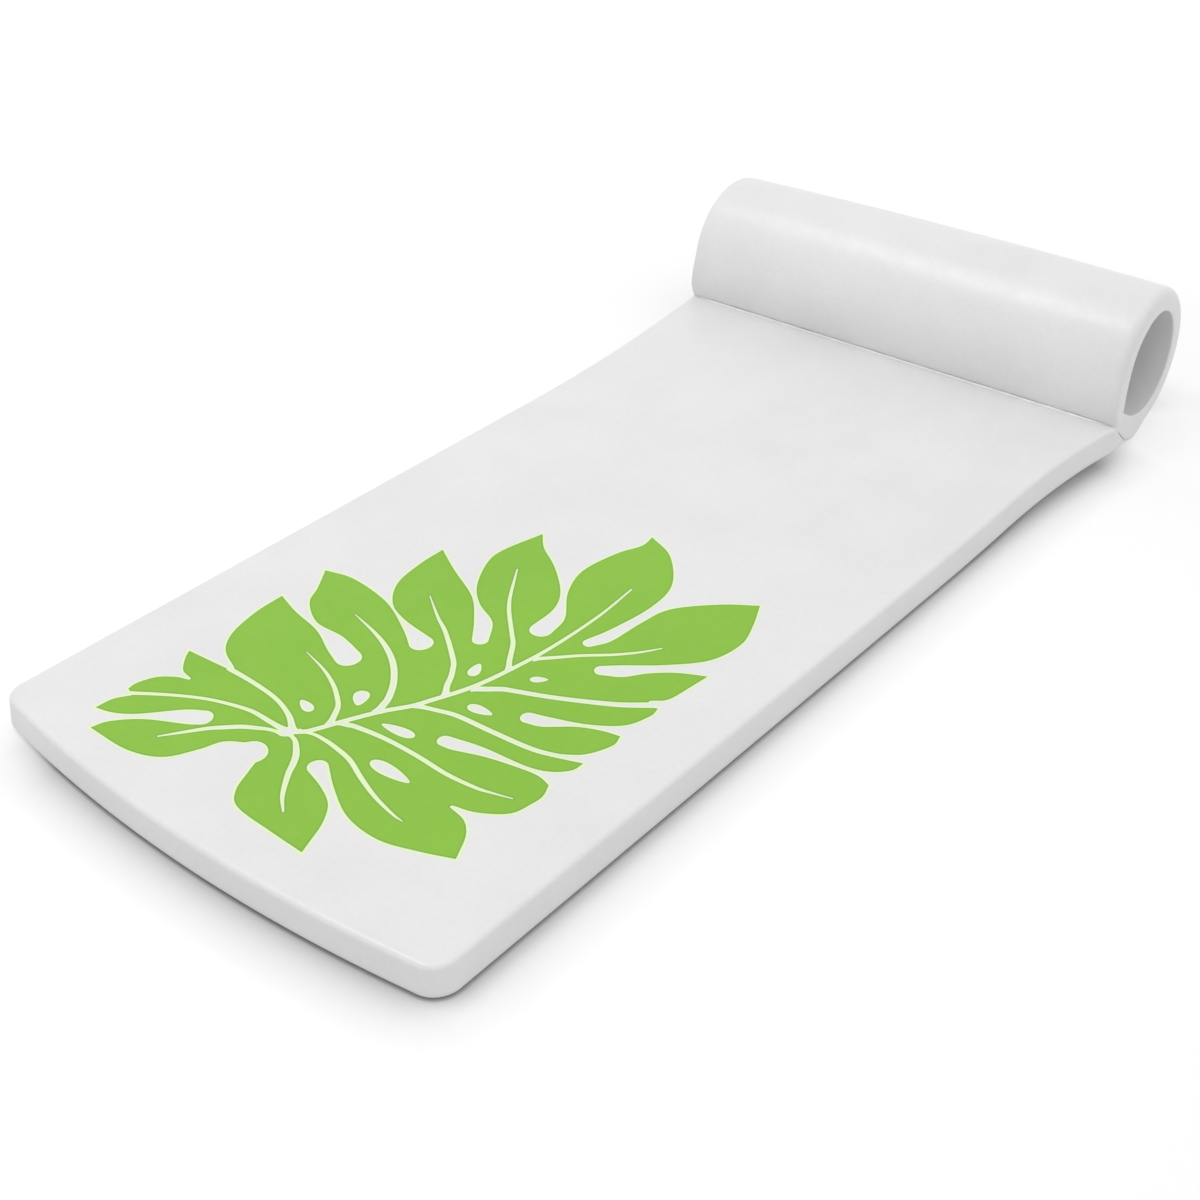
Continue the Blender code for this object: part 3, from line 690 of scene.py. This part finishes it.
def split_islands(whole):
    """The separate islands of a mesh as meshes of their own, the one with most points first."""
    islands = []
    unseen = set(whole.verts)
    while unseen:
        island = set()
        front = [min(unseen, key=lambda vert: vert.index)]
        while front:
            vert = front.pop()
            if vert not in island:
                island.add(vert)
                front += [edge.other_vert(vert) for edge in vert.link_edges]
        unseen -= island
        islands.append({vert.index for vert in island})
    pieces = []
    for kept in sorted(islands, key=len, reverse=True):
        piece = whole.copy()
        others = [vert for vert in piece.verts if vert.index not in kept]
        bmesh.ops.delete(piece, geom=others, context="VERTS")
        pieces.append(piece)
    return pieces


def printed_area(grow, bottom, top):
    """The leaf grown by that much into its bare parts, between two heights."""
    outline = leaf_outline()
    leaf = plate("leaf", grown(outline, grow) if grow else outline, bottom, top)
    bare = [vein_outline(*vein, -grow) for vein in LEAF_VEINS]
    bare += [hole_outline(*hole, -grow) for hole in LEAF_HOLES]
    cutters = [plate("bare_%02d" % number, part, bottom - CUT_MARGIN, top + CUT_MARGIN)
               for number, part in enumerate(bare)]
    for cutter in cutters:
        modifier = leaf.modifiers.new(cutter.name, "BOOLEAN")
        modifier.object = cutter
        modifier.operation = "DIFFERENCE"
        modifier.solver = "EXACT"
    area = bmesh.new()
    area.from_mesh(leaf.evaluated_get(bpy.context.evaluated_depsgraph_get()).to_mesh())
    for stale in [leaf] + cutters:
        bpy.data.objects.remove(stale)
    return area


def build_print(material, rim_material, halo_material):
    """The printed leaf in layers: a pale edging, four darker areas and the ink inside their rims."""
    names = ["leaf_print_tip", "leaf_print_base", "leaf_print_side", "leaf_print_corner"]
    halo_top = MAT_THICKNESS + INK_LIFT + INK_LAYER
    rim_top = halo_top + INK_LIFT + INK_LAYER
    halo = printed_area(HALO_WIDTH, halo_top - INK_LAYER, halo_top)
    finish_piece("leaf_halo", halo, halo_material, "leaf_ink", *names)
    rims = printed_area(0, rim_top - INK_LAYER, rim_top)
    for name, island in zip(names, split_islands(rims)):
        finish_piece(name.replace("leaf_print", "leaf_rim"), island, rim_material, "leaf_ink", name)
    rims.free()
    inked = printed_area(-RIM_WIDTH, rim_top + INK_LIFT, rim_top + INK_LIFT + INK_LAYER)
    finish_piece("leaf_ink", inked, material, "leaf_ink", *names)


# Materials

def node(tree, kind, **inputs):
    """A node with its inputs set or linked."""
    made = tree.nodes.new(kind)
    for name, value in inputs.items():
        socket = made.inputs[name.replace("_", " ")]
        if isinstance(value, bpy.types.NodeSocket):
            tree.links.new(value, socket)
        else:
            socket.default_value = value
    return made


def grain(tree, place, scale, detail):
    """Noise at a place."""
    return node(tree, "ShaderNodeTexNoise", Vector=place, Scale=scale, Detail=detail).outputs["Fac"]


def ramp(tree, value, low, high, from_value, to_value):
    """A value that goes from one number or value to another as the first one goes from low to high."""
    made = tree.nodes.new("ShaderNodeMapRange")
    tree.links.new(value, made.inputs["Value"])
    ends = {"From Min": low, "From Max": high, "To Min": from_value, "To Max": to_value}
    for name, end in ends.items():
        if isinstance(end, bpy.types.NodeSocket):
            tree.links.new(end, made.inputs[name])
        else:
            made.inputs[name].default_value = end
    return made.outputs["Result"]


def blend(tree, share, first, second):
    """A colour between two, by share."""
    made = tree.nodes.new("ShaderNodeMix")
    made.data_type = "RGBA"
    tree.links.new(share, made.inputs["Factor"])
    for socket, colour in ((made.inputs["A"], first), (made.inputs["B"], second)):
        if isinstance(colour, bpy.types.NodeSocket):
            tree.links.new(colour, socket)
        else:
            socket.default_value = (*colour, 1)
    return made.outputs["Result"]


def coated_surface(name, light, dark, roughness):
    """A satin coat: soft mottling between two colours, an uneven sheen, and bumps over one another."""
    material = bpy.data.materials.new(name)
    material.use_nodes = True
    tree = material.node_tree
    shader = tree.nodes["Principled BSDF"]
    place = tree.nodes.new("ShaderNodeTexCoord").outputs["Object"]
    broad = ramp(tree, grain(tree, place, BROAD_MOTTLE_SCALE, 3), 0.35, 0.65, 0, 1)
    fine = ramp(tree, grain(tree, place, FINE_MOTTLE_SCALE, 4), 0.3, 0.7, 0, 1 - BROAD_SHARE)
    mottle = node(tree, "ShaderNodeMath", Value=broad)
    mottle.operation = "MULTIPLY_ADD"
    mottle.inputs[1].default_value = BROAD_SHARE
    tree.links.new(fine, mottle.inputs[2])
    tree.links.new(blend(tree, mottle.outputs["Value"], dark, light), shader.inputs["Base Color"])
    duller, shinier = roughness + SHEEN_RANGE, roughness - SHEEN_RANGE
    sheen = ramp(tree, grain(tree, place, SHEEN_SCALE, 5), 0.3, 0.7, shinier, duller)
    tree.links.new(sheen, shader.inputs["Roughness"])
    shader.inputs["Specular IOR Level"].default_value = 0.5
    normal = None
    for scale, detail, height in VINYL_BUMPS:
        bump = node(tree, "ShaderNodeBump", Height=grain(tree, place, scale, detail), Distance=height)
        bump.inputs["Strength"].default_value = 1.0
        if normal:
            tree.links.new(normal, bump.inputs["Normal"])
        normal = bump.outputs["Normal"]
    tree.links.new(normal, shader.inputs["Normal"])
    return material


vinyl = coated_surface("satin_vinyl", (0.82, 0.82, 0.817), (0.77, 0.77, 0.77), 0.33)
# The beads are of the mat's coat, painted lighter and made glossier so that they show as a bright line: a
# painted highlight
bead_vinyl = coated_surface("bead_vinyl", (0.95, 0.95, 0.945), (0.90, 0.90, 0.90), 0.25)
ink = coated_surface("leaf_ink", (0.247, 0.527, 0.033), (0.225, 0.493, 0.029), 0.55)
halo_ink = coated_surface("leaf_halo", (0.79, 0.95, 0.52), (0.76, 0.92, 0.49), 0.45)
rim_ink = coated_surface("leaf_rim", (0.225, 0.440, 0.075), (0.205, 0.410, 0.068), 0.55)

build_mat(vinyl)
build_pillow(vinyl)
build_bead("bead_top", DECK_AT_HEAD, 1, TOP_BEAD_END, bead_vinyl, "crease_bead_top")
build_bead("bead_under", HEAD_RISE, -1, UNDER_BEAD_END, bead_vinyl, "crease_bead_under")
build_print(ink, rim_ink, halo_ink)


# Stage, light and camera

def larger(tree, first, second):
    """The larger of two values."""
    both = node(tree, "ShaderNodeMath", Value=first)
    both.operation = "MAXIMUM"
    tree.links.new(second, both.inputs[1])
    return both.outputs["Value"]


def backdrop_rays(tree):
    """1 for rays that show the backdrop as it is: the camera's, and those off shiny or clear surfaces."""
    kinds = tree.nodes.new("ShaderNodeLightPath").outputs
    by_surface = larger(tree, kinds["Is Glossy Ray"], kinds["Is Transmission Ray"])
    return larger(tree, kinds["Is Camera Ray"], by_surface)


def distance_from(tree, place, centre):
    """The distance of a place from a fixed one."""
    far = node(tree, "ShaderNodeVectorMath")
    far.operation = "DISTANCE"
    tree.links.new(place, far.inputs[0])
    far.inputs[1].default_value = centre
    return far.outputs["Value"]


def openness(tree, reach):
    """How open the floor is within that reach: 1 away from the float and 0.5 right beside it."""
    near = tree.nodes.new("ShaderNodeAmbientOcclusion")
    near.inputs["Distance"].default_value = reach
    return near.outputs["AO"]


def build_floor():
    """A white floor that the camera sees as white wherever no shadow falls, with painted shade round the
    float and painted light over its shadow in spots.
    """
    mesh = bmesh.new()
    bmesh.ops.create_grid(mesh, x_segments=1, y_segments=1, size=FLOOR_SIZE)
    data = bpy.data.meshes.new("floor")
    mesh.to_mesh(data)
    mesh.free()
    floor = bpy.data.objects.new("floor", data)
    bpy.context.scene.collection.objects.link(floor)
    material = bpy.data.materials.new("floor")
    material.use_nodes = True
    tree = material.node_tree
    shader = tree.nodes["Principled BSDF"]
    seen = backdrop_rays(tree)
    place = tree.nodes.new("ShaderNodeTexCoord").outputs["Object"]
    split = node(tree, "ShaderNodeSeparateXYZ", Vector=place)
    # Painted shade: the float's shade and a narrow contact shadow, darkening the floor's colour near the
    # float
    least = ramp(tree, split.outputs["Y"], *FOOT_SHADE_FROM_TO, FOOT_SHADE_LEAST, SHADE_LEAST)
    least = ramp(tree, split.outputs["X"], *LEFT_SHADE_FROM_TO, 1, least)
    shade = ramp(tree, openness(tree, SHADE_REACH), *SHADE_OPENNESS, least, 1)
    contact = ramp(tree, openness(tree, CONTACT_REACH), *CONTACT_OPENNESS, CONTACT_LEAST, 1)
    # Painted light: glowing white painted over the float's shadow in the spots
    painted_light_spots = [ramp(tree, distance_from(tree, place, centre), radius / 2, radius, PAINTED_LIGHT_LIFT, 0)
             for centre, radius in PAINTED_LIGHT_SPOTS]
    painted_light = larger(tree, *painted_light_spots)
    # The white that the camera sees, darkened by the painted shade and the painted contact shadow
    white = blend(tree, contact, (0, 0, 0), blend(tree, shade, (0, 0, 0), (1, 1, 1)))
    bounce = (FLOOR_BOUNCE, FLOOR_BOUNCE, FLOOR_BOUNCE)
    seen_floor = blend(tree, painted_light, white, (0, 0, 0))
    tree.links.new(blend(tree, seen, bounce, seen_floor), shader.inputs["Base Color"])
    shader.inputs["Roughness"].default_value = 1.0
    shader.inputs["Specular IOR Level"].default_value = 0.0
    even = ramp(tree, distance_from(tree, place, (0, 0, 0)), *FAR_FLOOR, FLOOR_LIFT, FAR_FLOOR_LIFT)
    # The floor glows evenly, more far off, and fully white in the spots, where this is painted light
    glow = blend(tree, painted_light, even, (1, 1, 1))
    tree.links.new(blend(tree, seen, (0, 0, 0), glow), shader.inputs["Emission Color"])
    shader.inputs["Emission Strength"].default_value = 1.0
    data.materials.append(material)


def build_world():
    """A white sky, which the camera sees as plain white."""
    world = bpy.data.worlds.new("studio")
    bpy.context.scene.world = world
    world.use_nodes = True
    tree = world.node_tree
    seen = backdrop_rays(tree)
    direction = tree.nodes.new("ShaderNodeTexCoord").outputs["Generated"]
    across = node(tree, "ShaderNodeSeparateXYZ", Vector=direction).outputs["X"]
    sky = ramp(tree, across, -1, 1, SKY_STRENGTH - SKY_TILT, SKY_STRENGTH + SKY_TILT)
    tree.links.new(blend(tree, seen, sky, (1, 1, 1)), tree.nodes["Background"].inputs["Color"])


def build_softbox():
    """A long softbox that shows in the pillow's sheen."""
    light = bpy.data.lights.new("softbox", "AREA")
    light.shape = "RECTANGLE"
    light.size, light.size_y = SOFTBOX_SIZE
    light.energy = SOFTBOX_POWER
    lamp = bpy.data.objects.new("softbox", light)
    away = Vector(SOFTBOX_FROM)
    lamp.location = Vector((0, CREASE_Y, 0)) + away
    lamp.rotation_euler = (-away).to_track_quat("-Z", "Y").to_euler()
    bpy.context.scene.collection.objects.link(lamp)


def build_camera():
    """The photograph's viewpoint, as a yaw to the left, a pitch down and a roll."""
    level_share = math.cos(CAMERA_PITCH)
    ahead = Vector((-math.sin(CAMERA_YAW) * level_share, math.cos(CAMERA_YAW) * level_share,
                    math.sin(CAMERA_PITCH)))
    level = ahead.cross(Vector((0, 0, 1))).normalized()
    above = level.cross(ahead)
    right = level * math.cos(CAMERA_ROLL) + above * math.sin(CAMERA_ROLL)
    up = above * math.cos(CAMERA_ROLL) - level * math.sin(CAMERA_ROLL)
    data = bpy.data.cameras.new("camera")
    data.lens = CAMERA_LENS
    data.sensor_width = SENSOR
    data.sensor_fit = "HORIZONTAL"
    camera = bpy.data.objects.new("camera", data)
    turned = Matrix((right, up, -ahead)).transposed().to_4x4()
    camera.matrix_world = Matrix.Translation(CAMERA_AT) @ turned
    bpy.context.scene.collection.objects.link(camera)
    bpy.context.scene.camera = camera


build_floor()
build_world()
build_softbox()
build_camera()
bpy.context.scene.view_settings.view_transform = "Standard"
